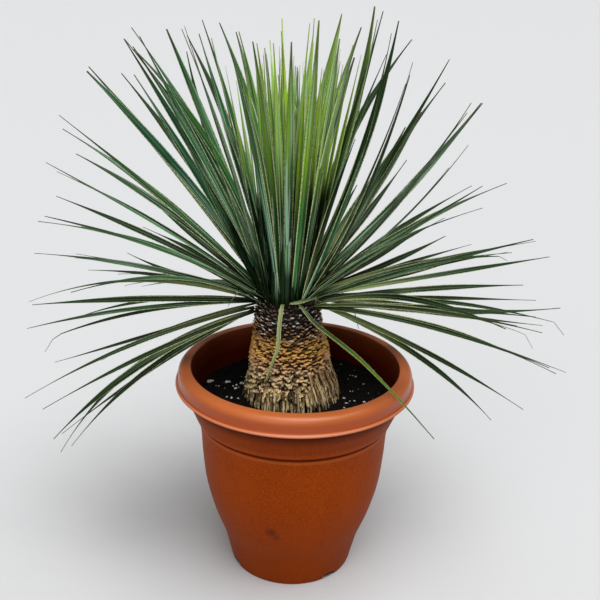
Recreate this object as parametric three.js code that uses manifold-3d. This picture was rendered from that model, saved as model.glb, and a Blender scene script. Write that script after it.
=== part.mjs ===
// Potted beaked yucca: a short trunk with a round head of long narrow leaves, standing in a bell-shaped
// plastic pot that is filled with soil. Millimetres, +Z up, origin at the centre of the pot's underside.
import * as THREE from "three";
import { mergeVertices } from "three/addons/utils/BufferGeometryUtils.js";
import Module from "manifold-3d";

const wasm = await Module();
wasm.setup();

// Driving dimensions
const GAP = 0.3; // clearance between pieces that rest on one another
const WALL = 3; // thickness of the pot's plastic
const POT_SIDES = 48;
const TRUNK_SIDES = 32;

const PAD_RADIUS = 22; // round pad under the middle of the pot, flush with the foot
const FOOT_RADIUS = 79.6;
const FOOT_RING = 8; // width of the ring that the pot stands on
const FOOT_HEIGHT = 5; // the underside is this far off the ground between pad and ring
const FOOT_DRAFT = 1; // pad and ring widen by this much over that height
const BODY_OUTLINE = [ // radius and height up the outside of the body
  [81, 6], [84.3, 20], [90.7, 45], [103.3, 80], [113.5, 120], [117.9, 160], [119.7, 190], [122.5, 208],
];
const BODY_STEPS = 8;
const CREASE = [124.5, 213]; // where the flared collar starts
const COLLAR_TOP = [143.5, 250];
const LIP = [146.7, 253.5]; // lower edge of the rolled rim
const RIM_RADIUS = 150;
const RIM_WIDEST = 260;
const RIM_PULL = [9, 11]; // the rim's curve leaves its crest and its widest ring by these lengths
const CREST = [134.5, 279.5];
const RIM_STEPS = 6;
const MOUTH = [130.9, 278.5]; // inner edge of the rim's crest
const NOTCH_BEARINGS = [-51, -153, 105, 27]; // degrees, drain notches in the foot
const NOTCH_DEPTH = 24;
const NOTCH_WIDTH = 18;
const NOTCH_HEIGHT = 4.6;
const DRAIN_RADIUS = 6; // holes through the pot's floor, one behind each notch
const DRAIN_SIDES = 12;
const DRAIN_RING = 58;

const SOIL_TOP = 237;
const SOIL_RADIUS = 124.4; // the pot's inside radius at the top of the soil
const SOIL_MOUND = 2; // rise of the soil towards the trunk

const TRUNK_FOOT = new THREE.Vector3(-5, 0, SOIL_TOP); // the trunk's axis leaves the soil here
const CROWN_CENTRE = new THREE.Vector3(-11, 0, 352); // and ends here, in the middle of the leaf crown
const TRUNK_OUTLINE = [ // radius and height above the soil, from the rooted end up
  [36, -88], [52, -74], [58, -34], [61, 0], [59.5, 11], [57.5, 22], [52.5, 38], [50.8, 60], [45.5, 84],
  [42.6, 104],
];
const CROWN_RADIUS = 42;
const CROWN_RISE = 28;
const CROWN_STEPS = 5;

const LEAF_ORIGIN = new THREE.Vector3(-11, 0, 358); // leaf lengths are measured from here
const LEAF_HALF_WIDTH = 5.1;
const LEAF_HALF_THICKNESS = 0.7;
const LEAF_NECK = 0.5; // the leaf's width where it joins the crown, as a share of its full width
const LEAF_NECK_POWER = 6; // how soon the neck reaches the full width
const LEAF_TAPER = [0.38, 0.95]; // the blade narrows between these shares of its length
const LEAF_POINT = 0.1; // the width that it narrows to, as a share of its full width
const LEAF_STEPS = 7;
const LEAF_CORNERS = 4; // two edges and a low keel on each face
const LEAF_SEAT = 0.65; // the middle of a leaf's end stands this far off the crown, its corners less
const LOWEST_LEAF = -36; // degrees
const LEAF_BOW = 14; // how far a level leaf arches above the straight line to its tip
const LOW_TWIST = 26; // degrees that a low leaf at the side is turned to face the front
const HIGH_TWIST = 50; // the same for a steep leaf
const TWIST_RISE = [15, 50]; // degrees of elevation between which the one goes over into the other

// Leaves as [bearing, elevation, length]: degrees and millimetres. Bearing 0 is +X and -90 is the front.
const UPRIGHT_LEAVES = [
  [-179, 61, 373], [-179, 57, 367], [149, 45, 360], [-173, 50, 362], [-149, 69, 360], [134, 57, 360],
  [126, 64, 360], [-112, 62, 360], [112, 61, 360], [99, 55, 360], [97, 67, 360], [-90, 66, 360],
  [-78, 72, 360], [66, 70, 360], [60, 62, 360], [-27, 74, 360], [10, 73, 366], [36, 57, 360],
  [-56, 55, 360], [39, 46, 360], [-24, 58, 360], [29, 40, 360], [-38, 48, 360], [-50, 41, 360],
];
const SPREADING_LEAVES = [
  [55, 14, 360], [32, 20, 360], [-51, 34, 360], [-43, 28, 360], [22, 9, 360], [14, 5, 360], [20, -3, 360],
  [-157, 42, 360], [154, 25, 360], [-147, 35, 360], [156, 14, 360], [-138, 28, 360], [161, 3, 360],
  [90, 35, 360], [75, 12, 350], [108, 8, 355], [125, 22, 350],
];
const LOW_LEAVES = [
  [166, -4, 360], [170, -12, 360], [163, -19, 360], [-178, -21, 360], [175, -33, 360], [-176, -35, 360],
  [9, -3, 360], [14, -11, 360], [-4, -13, 360], [7, -27, 360], [15, -32, 360], [62, -8, 350],
  [92, -12, 350], [122, -14, 350],
];
// A short leaf that arches over the rim
const RIM_LEAF = { bearing: -32, elevation: -30, length: 240, bow: 26, halfWidth: 4.2, twist: -45 };
// An old short leaf that hangs down the front of the trunk, as points on its line
const HANGING_LEAF = [
  [-16.5, -30.4, 371.7], [-18, -48, 371], [-20, -59, 353], [-21, -65, 330], [-26, -68, 314], [-36, -68, 283],
];
const HANGING_HALF_WIDTH = 3;
const HANGING_FACE = new THREE.Vector3(0, -1, 1); // its upper face looks up and to the front

// Colours, sRGB
const finishes = {
  pot: new THREE.MeshStandardMaterial({ color: 0xb4572a, roughness: 0.45, metalness: 0 }),
  soil: new THREE.MeshStandardMaterial({ color: 0x17120f, roughness: 1, metalness: 0 }),
  trunk: new THREE.MeshStandardMaterial({ color: 0x9a7444, roughness: 0.9, metalness: 0 }),
  leaf: new THREE.MeshStandardMaterial({ color: 0x5f8f6a, roughness: 0.5, metalness: 0 }),
};

const radians = THREE.MathUtils.degToRad;
const UP = new THREE.Vector3(0, 0, 1);
const lean = new THREE.Quaternion().setFromUnitVectors(
  UP,
  CROWN_CENTRE.clone().sub(TRUNK_FOOT).normalize(),
);
const point = ([r, z]) => new THREE.Vector2(r, z);

// A closed profile of radius and height turned about +Z.
function turned(profile, sides) {
  return new THREE.LatheGeometry(profile, sides).rotateX(Math.PI / 2);
}

function asSolid(geometry) {
  const bare = geometry.clone();
  bare.deleteAttribute("normal");
  bare.deleteAttribute("uv");
  const merged = mergeVertices(bare, 1e-3);
  return new wasm.Manifold(
    new wasm.Mesh({
      numProp: 3,
      vertProperties: merged.attributes.position.array,
      triVerts: new Uint32Array(merged.index.array),
    }),
  );
}

function asGeometry(solid) {
  const mesh = solid.getMesh();
  const geometry = new THREE.BufferGeometry();
  geometry.setAttribute("position", new THREE.BufferAttribute(mesh.vertProperties, 3));
  geometry.setIndex(new THREE.BufferAttribute(mesh.triVerts, 1));
  geometry.computeVertexNormals();
  return geometry;
}

// Outside of the pot from the foot to the crest, with the rolled rim as a curve.
function potOutside() {
  const body = new THREE.SplineCurve(BODY_OUTLINE.map(point)).getPoints(BODY_STEPS);
  const rim = new THREE.CubicBezierCurve(
    new THREE.Vector2(RIM_RADIUS, RIM_WIDEST),
    new THREE.Vector2(RIM_RADIUS, RIM_WIDEST + RIM_PULL[1]),
    new THREE.Vector2(CREST[0] + RIM_PULL[0], CREST[1]),
    point(CREST),
  ).getPoints(RIM_STEPS);
  return [...body, point(CREASE), point(COLLAR_TOP), point(LIP), ...rim];
}

// Inside of the pot from the mouth down to the floor: the body's outline moved in by the wall's thickness.
function potInside() {
  const body = new THREE.SplineCurve(BODY_OUTLINE.map(point)).getPoints(BODY_STEPS);
  const floor = FOOT_HEIGHT + WALL;
  const walls = body.filter((p) => p.y > floor + WALL).map((p) => new THREE.Vector2(p.x - WALL, p.y));
  const lowest = new THREE.Vector2(walls[0].x - WALL, floor);
  return [
    point(MOUTH),
    new THREE.Vector2(SOIL_RADIUS, SOIL_TOP),
    ...walls.reverse(),
    lowest,
  ];
}

function potGeometry() {
  const underside = [
    new THREE.Vector2(0, 0),
    new THREE.Vector2(PAD_RADIUS, 0),
    new THREE.Vector2(PAD_RADIUS + FOOT_DRAFT, FOOT_HEIGHT),
    new THREE.Vector2(FOOT_RADIUS - FOOT_RING - FOOT_DRAFT, FOOT_HEIGHT),
    new THREE.Vector2(FOOT_RADIUS - FOOT_RING, 0),
    new THREE.Vector2(FOOT_RADIUS, 0),
  ];
  const profile = [
    ...underside,
    ...potOutside(),
    ...potInside(),
    new THREE.Vector2(0, FOOT_HEIGHT + WALL),
  ];
  let pot = asSolid(turned(profile, POT_SIDES));
  for (const bearing of NOTCH_BEARINGS) {
    const turn = radians(bearing);
    const notch = new THREE.BoxGeometry(NOTCH_DEPTH, NOTCH_WIDTH, 2 * NOTCH_HEIGHT);
    notch.translate(FOOT_RADIUS, 0, 0).rotateZ(turn);
    const drill = 4 * (FOOT_HEIGHT + WALL);
    const drain = new THREE.CylinderGeometry(DRAIN_RADIUS, DRAIN_RADIUS, drill, DRAIN_SIDES);
    drain.rotateX(Math.PI / 2).translate(DRAIN_RING, 0, 0).rotateZ(turn);
    pot = pot.subtract(asSolid(notch)).subtract(asSolid(drain));
  }
  return asGeometry(pot);
}

// The trunk, its rooted end and the crown that the leaves grow from, grown fatter by a clearance if asked.
function trunkGeometry(extra) {
  const height = CROWN_CENTRE.distanceTo(TRUNK_FOOT);
  const crown = [];
  for (let i = 0; i <= CROWN_STEPS; i += 1) {
    const lift = ((Math.PI / 2) * i) / CROWN_STEPS;
    crown.push([CROWN_RADIUS * Math.cos(lift), height + CROWN_RISE * Math.sin(lift)]);
  }
  crown[CROWN_STEPS][0] = 0;
  const profile = [
    new THREE.Vector2(0, TRUNK_OUTLINE[0][1] - extra),
    ...TRUNK_OUTLINE.map(([r, z]) => new THREE.Vector2(r + extra, z < 0 ? z - extra : z)),
    ...crown.map(point),
  ];
  return turned(profile, TRUNK_SIDES)
    .applyQuaternion(lean)
    .translate(TRUNK_FOOT.x, TRUNK_FOOT.y, TRUNK_FOOT.z);
}

// Soil fills the pot up to its top, with a pocket for the rooted end of the trunk.
function soilGeometry() {
  const inside = potInside().slice(1).reverse();
  const wall = inside.map((p) => new THREE.Vector2(p.x - GAP, p.y));
  wall[0].y += GAP;
  const profile = [
    new THREE.Vector2(0, wall[0].y),
    ...wall,
    new THREE.Vector2(0, SOIL_TOP + SOIL_MOUND),
  ];
  const filling = asSolid(turned(profile, POT_SIDES));
  return asGeometry(filling.subtract(asSolid(trunkGeometry(GAP))));
}

const heading = (bearing, elevation) =>
  new THREE.Vector3(
    Math.cos(radians(bearing)) * Math.cos(radians(elevation)),
    Math.sin(radians(bearing)) * Math.cos(radians(elevation)),
    Math.sin(radians(elevation)),
  );

// Where a leaf leaves the crown: low leaves at its edge, upright ones near its top.
function leafFoot(bearing, elevation) {
  const lift = (90 * (elevation - LOWEST_LEAF)) / (90 - LOWEST_LEAF);
  const out = heading(bearing, lift);
  out.x *= CROWN_RADIUS + LEAF_SEAT;
  out.y *= CROWN_RADIUS + LEAF_SEAT;
  out.z *= CROWN_RISE + LEAF_SEAT;
  return out.applyQuaternion(lean).add(CROWN_CENTRE);
}

// A leaf's line from its foot to its tip, arched upwards by bow in the middle.
function leafLine(bearing, elevation, length, bow) {
  const foot = leafFoot(bearing, elevation);
  const tip = heading(bearing, elevation).multiplyScalar(length).add(LEAF_ORIGIN);
  const middle = foot.clone().lerp(tip, 0.5);
  middle.z += 2 * bow;
  return new THREE.QuadraticBezierCurve3(foot, middle, tip);
}

// Share of the full width at t along the leaf: narrow neck, full through the middle, long taper to a point.
function leafWidth(t) {
  const neck = 1 - (1 - LEAF_NECK) * (1 - t) ** LEAF_NECK_POWER;
  return neck * (1 - (1 - LEAF_POINT) * THREE.MathUtils.smoothstep(t, ...LEAF_TAPER));
}

// Degrees that a blade is turned about its own line: leaves at the sides show their faces to the front.
function leafTwist(bearing, elevation) {
  const steep = THREE.MathUtils.smoothstep(elevation, ...TWIST_RISE);
  return -Math.cos(radians(bearing)) * (LOW_TWIST + (HIGH_TWIST - LOW_TWIST) * steep);
}

// A flat blade with a low keel on both faces, carried along its line and turned about it. Unturned, its upper
// face looks the given way.
function leafGeometry(line, twist, halfWidth = LEAF_HALF_WIDTH, face = UP) {
  const blade = new THREE.CylinderGeometry(1, 1, 1, LEAF_CORNERS, LEAF_STEPS);
  const corners = blade.getAttribute("position");
  const across = new THREE.Vector3();
  const out = new THREE.Vector3();
  for (let i = 0; i < corners.count; i += 1) {
    const t = corners.getY(i) + 0.5;
    const along = line.getTangent(t);
    across.crossVectors(face, along).normalize().applyAxisAngle(along, -radians(twist));
    out.crossVectors(across, along);
    const place = line.getPoint(t)
      .addScaledVector(across, corners.getX(i) * halfWidth * leafWidth(t))
      .addScaledVector(out, corners.getZ(i) * LEAF_HALF_THICKNESS * Math.min(1, 4 * leafWidth(t)));
    corners.setXYZ(i, place.x, place.y, place.z);
  }
  return blade;
}

const plant = new THREE.Group();

function add(name, geometry, material) {
  const mesh = new THREE.Mesh(geometry, material);
  mesh.name = name;
  plant.add(mesh);
}

add("pot", potGeometry(), finishes.pot);
add("soil", soilGeometry(), finishes.soil);
add("trunk", trunkGeometry(0), finishes.trunk);

const straightLeaves = [...UPRIGHT_LEAVES, ...SPREADING_LEAVES, ...LOW_LEAVES];
straightLeaves.forEach(([bearing, elevation, length], index) => {
  const bow = LEAF_BOW * Math.cos(radians(elevation));
  const name = `leaf_${String(index + 1).padStart(2, "0")}`;
  const line = leafLine(bearing, elevation, length, bow);
  add(name, leafGeometry(line, leafTwist(bearing, elevation)), finishes.leaf);
});
const overRim = leafLine(RIM_LEAF.bearing, RIM_LEAF.elevation, RIM_LEAF.length, RIM_LEAF.bow);
add("leaf_over_rim", leafGeometry(overRim, RIM_LEAF.twist, RIM_LEAF.halfWidth), finishes.leaf);
const hanging = new THREE.CatmullRomCurve3(HANGING_LEAF.map((p) => new THREE.Vector3(...p)));
add("leaf_hanging", leafGeometry(hanging, 0, HANGING_HALF_WIDTH, HANGING_FACE), finishes.leaf);

export default plant;
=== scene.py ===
import math

import bpy
import numpy as np
from mathutils import Matrix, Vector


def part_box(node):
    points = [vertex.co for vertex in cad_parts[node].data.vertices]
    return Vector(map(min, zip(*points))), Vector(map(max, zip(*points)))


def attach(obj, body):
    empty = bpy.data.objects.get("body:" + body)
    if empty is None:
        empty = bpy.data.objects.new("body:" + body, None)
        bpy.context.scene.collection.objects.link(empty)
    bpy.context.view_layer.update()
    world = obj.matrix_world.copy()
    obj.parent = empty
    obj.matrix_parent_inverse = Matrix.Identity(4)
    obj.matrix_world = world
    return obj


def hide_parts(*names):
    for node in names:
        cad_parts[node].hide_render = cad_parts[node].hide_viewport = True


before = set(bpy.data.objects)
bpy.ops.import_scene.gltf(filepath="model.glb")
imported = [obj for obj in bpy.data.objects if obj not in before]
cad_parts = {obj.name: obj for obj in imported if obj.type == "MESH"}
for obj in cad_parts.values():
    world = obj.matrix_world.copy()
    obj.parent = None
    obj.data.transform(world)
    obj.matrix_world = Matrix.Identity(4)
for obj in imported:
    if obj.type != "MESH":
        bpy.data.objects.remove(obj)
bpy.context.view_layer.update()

MM = 0.001
UP = np.array([0.0, 0.0, 1.0])
GOLDEN = math.pi * (3 - math.sqrt(5))

# ---------------------------------------------------------------- dimensions of the CAD
SOIL_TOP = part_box("soil")[1][2] - 2 * MM
TRUNK_FOOT = np.array([-5, 0, 237]) * MM
CROWN_CENTRE = np.array([-11, 0, 352]) * MM
CROWN_RADIUS = 42 * MM
CROWN_RISE = 28 * MM
LEAF_ORIGIN = np.array([-11, 0, 358]) * MM
LOWEST_LEAF = -36  # elevation in degrees
LEAF_HALF_WIDTH = 5.4 * MM
LEAF_NECK = 0.5  # share of the full width at a leaf's foot
LEAF_POINT = 0.12  # and at its tip

# Leaves as [bearing, elevation, length, bow]: degrees and millimetres. Bearing 0 is +X and -90 is the front.
UPRIGHT_LEAVES = [
    [-179.8, 61.1, 373, 12], [-180.2, 58.9, 367, 2], [150.3, 45.9, 360, 8], [-175.5, 50.7, 362, 8],
    [-149.8, 68.7, 360, -1], [135.3, 58.1, 360, 17], [126.1, 63.6, 360, 27], [-110.9, 63.2, 360, 10],
    [113.3, 59.1, 360, 21], [99.6, 55.1, 360, 13], [96.7, 65.7, 360, 10], [-90.1, 66.7, 360, 12],
    [-80.5, 73.3, 360, 13], [64.7, 68.7, 360, 16], [59.9, 62.9, 360, 16], [-28.3, 73.8, 360, -8],
    [12.4, 75.5, 366, -14], [38.3, 59.5, 360, 26], [-57.2, 55.8, 360, -13], [40.3, 44.3, 360, 4],
    [-26.4, 59.7, 360, -4], [29.4, 40.1, 360, -10], [-39.1, 50.4, 360, -12], [-49.8, 43.3, 360, -14],
]
SPREADING_LEAVES = [
    [56.4, 15.7, 360, -10], [30.8, 19.1, 360, 11], [-53.2, 33.3, 360, 11], [-42.8, 26.7, 360, 2],
    [22.1, 7.8, 360, 6], [16.5, 6.1, 360, 0], [19.7, -5, 360, 1], [-156.3, 43.3, 360, 4],
    [151.7, 24.1, 360, 12], [-145.5, 35.9, 360, 4], [155.4, 14.6, 360, 6], [-136.8, 28.4, 360, 10],
    [162.1, 3.3, 360, 10], [89.9, 36.3, 360, 33], [73.5, 11.6, 350, -2], [106.9, 9.3, 355, 2],
    [126.3, 21.8, 350, -5],
]
LOW_LEAVES = [
    [166, -6.3, 360, 27], [169.2, -11.2, 360, 9], [163.6, -21.5, 360, -1], [-178.4, -21.9, 360, 13],
    [176.2, -34, 360, 7], [-177.6, -35.7, 360, 32], [9.8, -2.9, 360, -11], [15.2, -9.1, 360, -1],
    [-1.5, -12.4, 360, 8], [8.3, -26.5, 360, 8], [16.8, -33.7, 360, 16], [63.3, -9.3, 350, -8],
    [91.5, -13.2, 350, -16], [119.5, -14.1, 350, 9],
]
RIM_LEAF = [  # points along the short leaf that arches over the rim, in mm
    [3, -36, 374], [12, -43, 365], [24, -48, 353], [49, -52, 335], [78, -65, 316], [108, -80, 291],
    [138, -95, 264], [165.3, -110.1, 238],
]
HANGING_LEAF = [
    [-16.5, -30.4, 371.7], [-18, -48, 371], [-20, -59, 353], [-21, -65, 330], [-26, -68, 314],
    [-36, -68, 283],
]
# Further leaves that have no solid of their own, in the same form.
BETWEEN_LEAVES = [
    [182, 59.7, 352, 24], [-156.7, 60, 363, 9], [166.4, 47.6, 372, 6], [175, 66.1, 355, 2],
    [-169.4, 73.3, 353, 6], [136, 62.1, 351, 1], [-132.6, 69.5, 349, 1], [113.1, 57.2, 365, 24],
    [-108.8, 69.6, 349, 13], [-100.3, 71.9, 342, 8], [83.8, 55.7, 361, 34], [82.3, 61.9, 371, -12],
    [-74.5, 74.2, 361, -6], [-75.9, 73, 362, -7], [68.7, 64.8, 371, 2], [-61.1, 73.2, 344, -3],
    [-59, 69.9, 346, 9], [28.2, 67.7, 363, -16], [4.3, 74.3, 364, -2], [-11.5, 71.8, 347, -13],
    [-46, 48.2, 366, -6], [47.6, 39, 356, 4], [50.1, 6.2, 356, 0], [30.1, 3, 352, 4],
    [36.7, 1.7, 351, -6], [170, 35.6, 346, 13], [149.1, -0.5, 355, 4], [136.3, -11.2, 307, 12],
    [138.8, -7.9, 342, 9], [147, -2.5, 372, 7], [165.1, -7.2, 349, 6], [153.6, -15, 361, 15],
    [178.4, -36.9, 354, 20], [179.3, 50, 362, 9], [-168.3, 62.2, 363, 2], [-53.9, 57.4, 361, -16],
    [31.2, 38.8, 366, -7], [-46.9, 43.3, 317, -10], [-40.2, 38.1, 322, 2], [-50.8, 36.6, 341, 2],
    [-46.1, 25.7, 345, 11], [-143.5, 26.8, 345, 18], [-133.1, 17.5, 321, 24], [167.7, -6.4, 350, 5],
    [-155.8, -16, 316, 8], [-36.5, 3.2, 340, 12], [-32.7, 8.1, 323, 10], [-47.6, 14, 342, 8],
    [-173.7, -31.2, 346, 20], [-180, 59, 366, 16], [-146.5, 67.6, 361, 7], [-44.8, 61.4, 355, -14],
    [-46.8, 54.3, 326, -4], [140.2, -0.8, 305, -9], [145.7, -5.4, 356, 8], [-44, 12.1, 314, 22],
    [160.1, 22.4, 350, 10],
]
# Shorter leaves deeper in the head, in the same form.
INNER_LEAVES = [
    [-180.4, 84, 310, 6], [104.1, 78.8, 327, 24], [-122.3, 80.2, 312, 12], [1.1, 71.1, 322, 8],
    [161.9, 66.2, 325, -11], [-73.3, 86.6, 291, -5], [63, 59.5, 328, 12], [-167.1, 57.8, 332, 4],
    [-28.1, 59.4, 275, -1], [-112.3, 73.4, 337, 14], [36.7, 47.4, 300, -5], [157.1, 54.2, 313, 4],
    [89.9, 53, 330, 14], [-143.8, 59.3, 311, -4], [139.9, 49.4, 318, 6], [46.2, 40.3, 338, 0],
    [-35.4, 57.1, 295, -1], [95.8, 47, 338, 23], [35.6, 20.5, 322, 7], [53.6, 27.2, 300, -4],
    [134.5, 30, 345, 9], [46.6, 9.2, 269, -5], [-63.3, 54.4, 295, -7], [-130.6, 61, 330, 0],
    [7, 4.1, 299, 4], [133.9, 14.5, 328, -4], [46.9, 3.4, 331, -5], [-24.9, 8.4, 304, 4],
    [97.4, -17, 339, 9], [-112.2, 65.9, 301, 15], [37.7, 3.8, 325, 2], [142, -9.6, 307, 15],
    [-59.3, 60.4, 267, 5], [87.6, -16.7, 308, 10], [-156.5, 26.9, 276, 13], [-18.9, -5.8, 329, 16],
    [133.6, 4.6, 315, 5], [-91.2, 72.1, 314, 6], [43.6, -9.8, 326, -2], [-56, 34.2, 297, 9],
    [102.2, -27, 314, 12], [-130.8, 64, 321, 4], [34.6, -10, 355, 1], [153.4, -26.1, 332, 8],
    [86, -26.8, 330, 11],
]
# Leaves with a broken tip: the same four, then the share of the length where it breaks and the drop after it.
BENT_LEAVES = [
    [18, -13, 365, 14, 0.95, 0.9], [3, -4, 352, 14, 0.965, 1.1], [164, -16, 362, 14, 0.94, 0.8],
    [30, 2, 352, 14, 0.975, 0.7], [70, -20, 340, 14, 0.8, 0.6],
]
# Two more single lines of points in mm: the folded leaf at the crown and a fibre that has come loose.
FOLDED_LEAF = [
    [-7.4, -40, 376], [2, -41, 378], [12, -42, 382], [22, -42, 386.5], [23.5, -42, 385], [25.6, -42, 379.5],
]
FIBRE = [[-68, -18, 384], [-72.6, -20, 378.8], [-79, -21, 371], [-84.1, -20, 361]]
# The young leaves in the middle, with the outermost one's lean in degrees, and lengths and half widths in mm.
HEART_LEAVES = 46
HEART_LEAN = 15.5
HEART_LENGTHS = (272, 318)
HEART_HALF_WIDTHS = (2.1, 3.4)


# ---------------------------------------------------------------- meshes from arrays
def grid_quads(rows, cols):
    """Quads between neighbouring points of a grid numbered row by row, with its columns joined in a ring."""
    row = np.arange(rows - 1)[:, None] * cols
    here = np.arange(cols)[None, :]
    beside = (here + 1) % cols
    return np.stack([row + here, row + beside, row + cols + beside, row + cols + here], -1).reshape(-1, 4)


def closed_grids(count, rows, cols):
    """Faces of count grids whose points follow each other, each wrapped round and capped at both ends."""
    first = np.arange(cols)[None, ::-1]
    last = (rows - 1) * cols + np.arange(cols)[None]
    step = np.arange(count)[:, None, None] * rows * cols
    return [(faces + step).reshape(-1, faces.shape[1]) for faces in (grid_quads(rows, cols), first, last)]


def new_object(name, points, faces, material, uv=None, values=None, smooth=True):
    """An object whose mesh has these points and faces, a list of index arrays, with a uv pair and named
    values at each point."""
    corners = np.concatenate([f.ravel() for f in faces])
    sizes = np.concatenate([np.full(len(f), f.shape[1]) for f in faces])
    starts = np.concatenate([[0], np.cumsum(sizes)[:-1]])
    mesh = bpy.data.meshes.new(name)
    mesh.vertices.add(len(points))
    mesh.vertices.foreach_set("co", np.ascontiguousarray(points, np.float32).ravel())
    mesh.loops.add(len(corners))
    mesh.loops.foreach_set("vertex_index", corners.astype(np.int32))
    mesh.polygons.add(len(sizes))
    mesh.polygons.foreach_set("loop_start", starts.astype(np.int32))
    mesh.polygons.foreach_set("use_smooth", np.full(len(sizes), smooth))
    if uv is not None:
        layer = mesh.uv_layers.new(name="UVMap")
        layer.data.foreach_set("uv", uv[corners].astype(np.float32).ravel())
    for key, value in (values or {}).items():
        attribute = mesh.attributes.new(key, "FLOAT", "POINT")
        attribute.data.foreach_set("value", value.astype(np.float32).ravel())
    mesh.update()
    mesh.validate()
    mesh.materials.append(material)
    piece = bpy.data.objects.new(name, mesh)
    bpy.context.scene.collection.objects.link(piece)
    return piece


def unit(v):
    """Vectors divided by their lengths."""
    return v / np.linalg.norm(v, axis=-1, keepdims=True)


def smoothstep(low, high, x):
    """Nothing below low, one above high, and three squares less two cubes of the share between them."""
    t = np.clip((x - low) / (high - low), 0, 1)
    return t * t * (3 - 2 * t)


def ripple(x, y, z, seed, waves=5, scale=1.0):
    """Smooth noise from -1 to 1: a mean of sine waves in seeded directions and phases."""
    draw = np.random.default_rng(seed)
    total = 0
    for _ in range(waves):
        k = draw.normal(size=3) * scale
        total = total + np.sin(k[0] * x + k[1] * y + k[2] * z + draw.uniform(0, 2 * math.pi))
    return total / waves


# ---------------------------------------------------------------- shader building
class Value:
    """A socket that takes part in sums: each operator adds the Math node for it."""

    def __init__(self, shader, socket):
        self.shader = shader
        self.socket = socket

    def _math(self, operation, *sides):
        return self.shader.node("ShaderNodeMath", {"operation": operation}, dict(enumerate(sides)))

    def __add__(self, other):
        return self._math("ADD", self, other)

    def __sub__(self, other):
        return self._math("SUBTRACT", self, other)

    def __rsub__(self, other):
        return self._math("SUBTRACT", other, self)

    def __mul__(self, other):
        return self._math("MULTIPLY", self, other)

    def __abs__(self):
        return self._math("ABSOLUTE", self)

    def fit(self, low, high, to_low=0.0, to_high=1.0):
        """Low to high is carried smoothly to to_low to to_high and held beyond."""
        settings = {"interpolation_type": "SMOOTHSTEP"}
        ends = {"Value": self, "From Min": low, "From Max": high, "To Min": to_low, "To Max": to_high}
        return self.shader.node("ShaderNodeMapRange", settings, ends)

    def band(self, start, full, fade, end):
        """One from full to fade and nothing outside start to end."""
        return self.fit(start, full) * self.fit(fade, end, 1.0, 0.0)


class Shader:
    """A material and the ways to add to its nodes."""

    def __init__(self, name):
        self.material = bpy.data.materials.new(name)
        self.material.use_nodes = True
        self.tree = self.material.node_tree
        self.surface = self.tree.nodes["Principled BSDF"]

    def node(self, kind, settings=None, inputs=None, output=0):
        """A node of this kind with its settings, then its inputs as values or links; gives one output."""
        made = self.tree.nodes.new(kind)
        for key, value in (settings or {}).items():
            if key == "stops":
                self._stops(made.color_ramp, value)
            else:
                setattr(made, key, value)
        for key, value in (inputs or {}).items():
            self.join(made.inputs[key], value)
        return Value(self, made.outputs[output])

    def _stops(self, ramp, stops):
        ramp.elements[0].position, ramp.elements[0].color = stops[0][0], rgba(stops[0][1])
        ramp.elements[1].position, ramp.elements[1].color = stops[-1][0], rgba(stops[-1][1])
        for place, colour in stops[1:-1]:
            ramp.elements.new(place).color = rgba(colour)

    def join(self, socket, value):
        if isinstance(value, Value):
            self.tree.links.new(value.socket, socket)
        else:
            socket.default_value = value

    def set(self, **inputs):
        """Values or links of the surface's own sockets, with _ for a space in the name."""
        for key, value in inputs.items():
            self.join(self.surface.inputs[key.replace("_", " ")], value)

    def stretch(self, vector, scale, shift=(0, 0, 0)):
        """A vector with each part multiplied by its scale, then shifted."""
        return self.node("ShaderNodeMapping", None, {"Vector": vector, "Scale": scale, "Location": shift})

    def place(self, scale=(1, 1, 1)):
        """Object coordinates, stretched by scale."""
        return self.stretch(self.node("ShaderNodeTexCoord", output="Object"), scale)

    def axis(self, vector, letter):
        return self.node("ShaderNodeSeparateXYZ", None, {"Vector": vector}, letter)

    def away(self, place, spot):
        """Distance between two places."""
        return self.node("ShaderNodeVectorMath", {"operation": "DISTANCE"}, {0: place, 1: spot}, "Value")

    def noise(self, place, scale, detail=3.0, roughness=0.55):
        ends = {"Vector": place, "Scale": scale, "Detail": detail, "Roughness": roughness}
        return self.node("ShaderNodeTexNoise", None, ends)

    def ramp(self, factor, stops):
        return self.node("ShaderNodeValToRGB", {"stops": stops}, {"Fac": factor})

    def mix(self, factor, low, high):
        """From colour low to colour high, a link or a hex colour, by factor."""
        ends = {"Factor": factor, 6: low, 7: high if isinstance(high, Value) else rgba(high)}
        return self.node("ShaderNodeMix", {"data_type": "RGBA"}, ends, 2)

    def attribute(self, name):
        """One of the values that new_object stores at each point."""
        return self.node("ShaderNodeAttribute", {"attribute_name": name}, output="Fac")

    def bump(self, height, strength, distance):
        ends = {"Strength": strength, "Distance": distance, "Height": height}
        self.set(Normal=self.node("ShaderNodeBump", None, ends))


def linear(c):
    """One channel from the screen's curve to linear light."""
    return c / 12.92 if c <= 0.04045 else ((c + 0.055) / 1.055) ** 2.4


def rgba(colour):
    """A hex colour as linear red, green, blue and alpha."""
    return tuple(linear(int(colour[i : i + 2], 16) / 255) for i in (0, 2, 4)) + (1.0,)


# ---------------------------------------------------------------- materials
POT_SMEARS = [([-24, -108, 97], 9, 0.75), ([-17, -106, 89], 7, 0.55), ([40, -100, 120], 5, 0.25)]


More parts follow.
